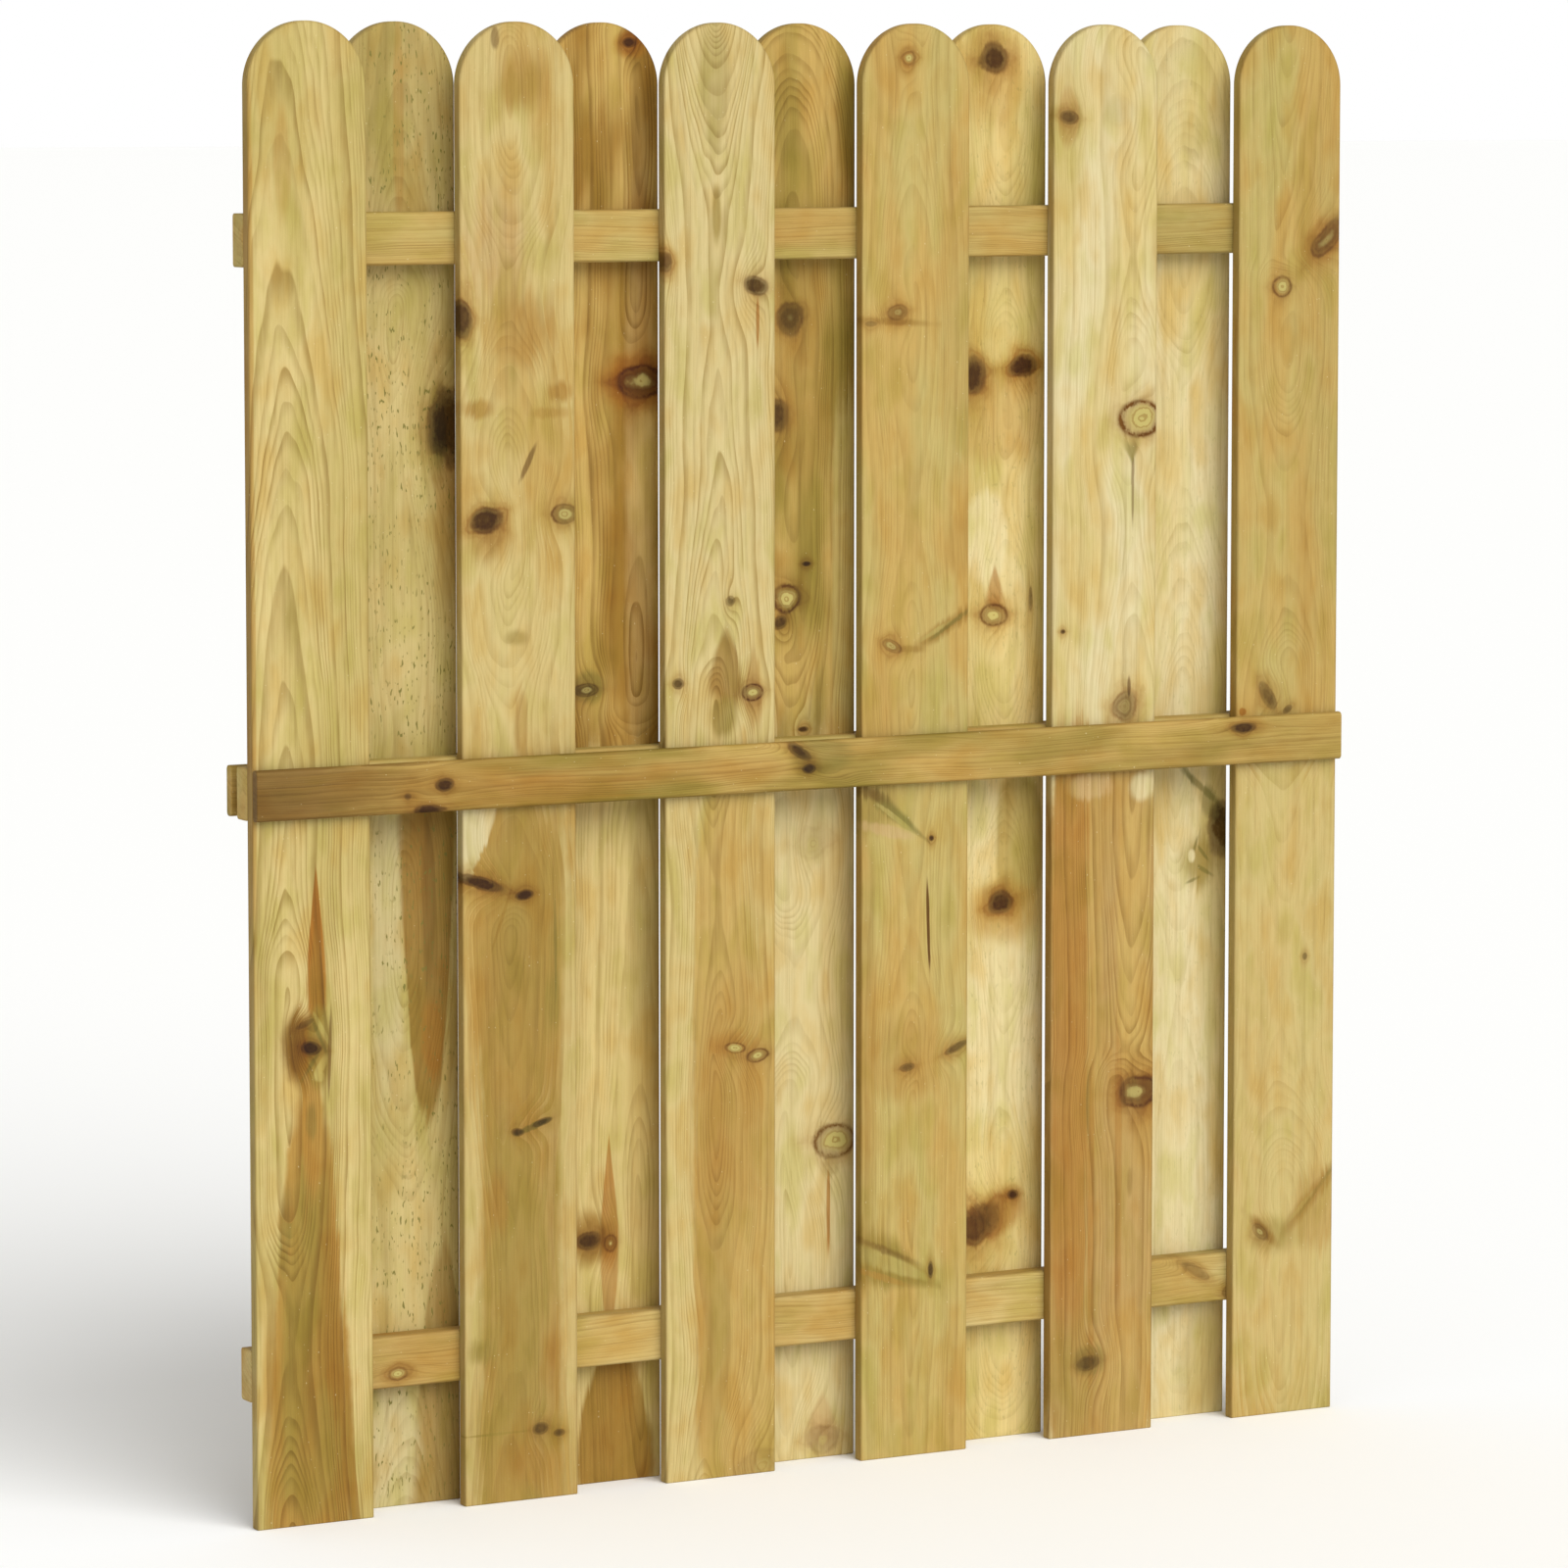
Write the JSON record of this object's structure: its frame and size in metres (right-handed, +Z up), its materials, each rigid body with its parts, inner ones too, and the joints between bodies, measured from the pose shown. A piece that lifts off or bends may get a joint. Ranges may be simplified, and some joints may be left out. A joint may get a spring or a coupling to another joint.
{
  "type": "garden gate leaf",
  "caption": "Double-sided wooden garden gate leaf: round-topped upright boards on both faces of three rails, with a cover rail across the middle of each face.",
  "frame": {"origin": "on the ground under the middle of the leaf, halfway through its thickness", "axes": "+Z up along the boards, +X along the rails to the right as seen from the front, +Y through the leaf from its front face to its back face"},
  "size_m": [1.45, 0.084, 1.7],
  "materials": {
    "front_board_wood": "planed pressure-treated pine, pale yellow-green, knotty",
    "back_board_wood": "planed pressure-treated pine, olive to brown, knotty",
    "rail_wood": "planed pressure-treated pine, golden, fine straight grain",
    "cover_rail_wood": "planed pressure-treated pine, olive-brown, rounded edges",
    "galvanised_wire": "galvanised steel wire, dull"
  },
  "bodies": {
    "root": {"front_board_1": "front_board_wood", "front_board_2": "front_board_wood", "front_board_3": "front_board_wood", "front_board_4": "front_board_wood", "front_board_5": "front_board_wood", "front_board_6": "front_board_wood", "back_board_1": "back_board_wood", "back_board_2": "back_board_wood", "back_board_3": "back_board_wood", "back_board_4": "back_board_wood", "back_board_5": "back_board_wood", "top_rail": "rail_wood", "middle_rail": "rail_wood", "bottom_rail": "rail_wood", "front_cover_rail": "cover_rail_wood", "back_cover_rail": "cover_rail_wood", "front_top_staple_1": "galvanised_wire", "front_top_staple_2": "galvanised_wire", "front_top_staple_3": "galvanised_wire", "front_top_staple_4": "galvanised_wire", "front_top_staple_5": "galvanised_wire", "front_top_staple_6": "galvanised_wire", "front_middle_staple_1": "galvanised_wire", "front_middle_staple_2": "galvanised_wire", "front_middle_staple_3": "galvanised_wire", "front_middle_staple_4": "galvanised_wire", "front_middle_staple_5": "galvanised_wire", "front_middle_staple_6": "galvanised_wire", "front_cover_staple_1": "galvanised_wire", "front_cover_staple_2": "galvanised_wire", "front_cover_staple_3": "galvanised_wire", "front_cover_staple_4": "galvanised_wire", "front_cover_staple_5": "galvanised_wire", "front_cover_staple_6": "galvanised_wire", "front_bottom_staple_1": "galvanised_wire", "front_bottom_staple_2": "galvanised_wire", "front_bottom_staple_3": "galvanised_wire", "front_bottom_staple_4": "galvanised_wire", "front_bottom_staple_5": "galvanised_wire", "front_bottom_staple_6": "galvanised_wire", "back_top_staple_1": "galvanised_wire", "back_top_staple_2": "galvanised_wire", "back_top_staple_3": "galvanised_wire", "back_top_staple_4": "galvanised_wire", "back_top_staple_5": "galvanised_wire", "back_middle_staple_1": "galvanised_wire", "back_middle_staple_2": "galvanised_wire", "back_middle_staple_3": "galvanised_wire", "back_middle_staple_4": "galvanised_wire", "back_middle_staple_5": "galvanised_wire", "back_cover_staple_1": "galvanised_wire", "back_cover_staple_2": "galvanised_wire", "back_cover_staple_3": "galvanised_wire", "back_cover_staple_4": "galvanised_wire", "back_cover_staple_5": "galvanised_wire", "back_bottom_staple_1": "galvanised_wire", "back_bottom_staple_2": "galvanised_wire", "back_bottom_staple_3": "galvanised_wire", "back_bottom_staple_4": "galvanised_wire", "back_bottom_staple_5": "galvanised_wire"}
  },
  "joints": []
}
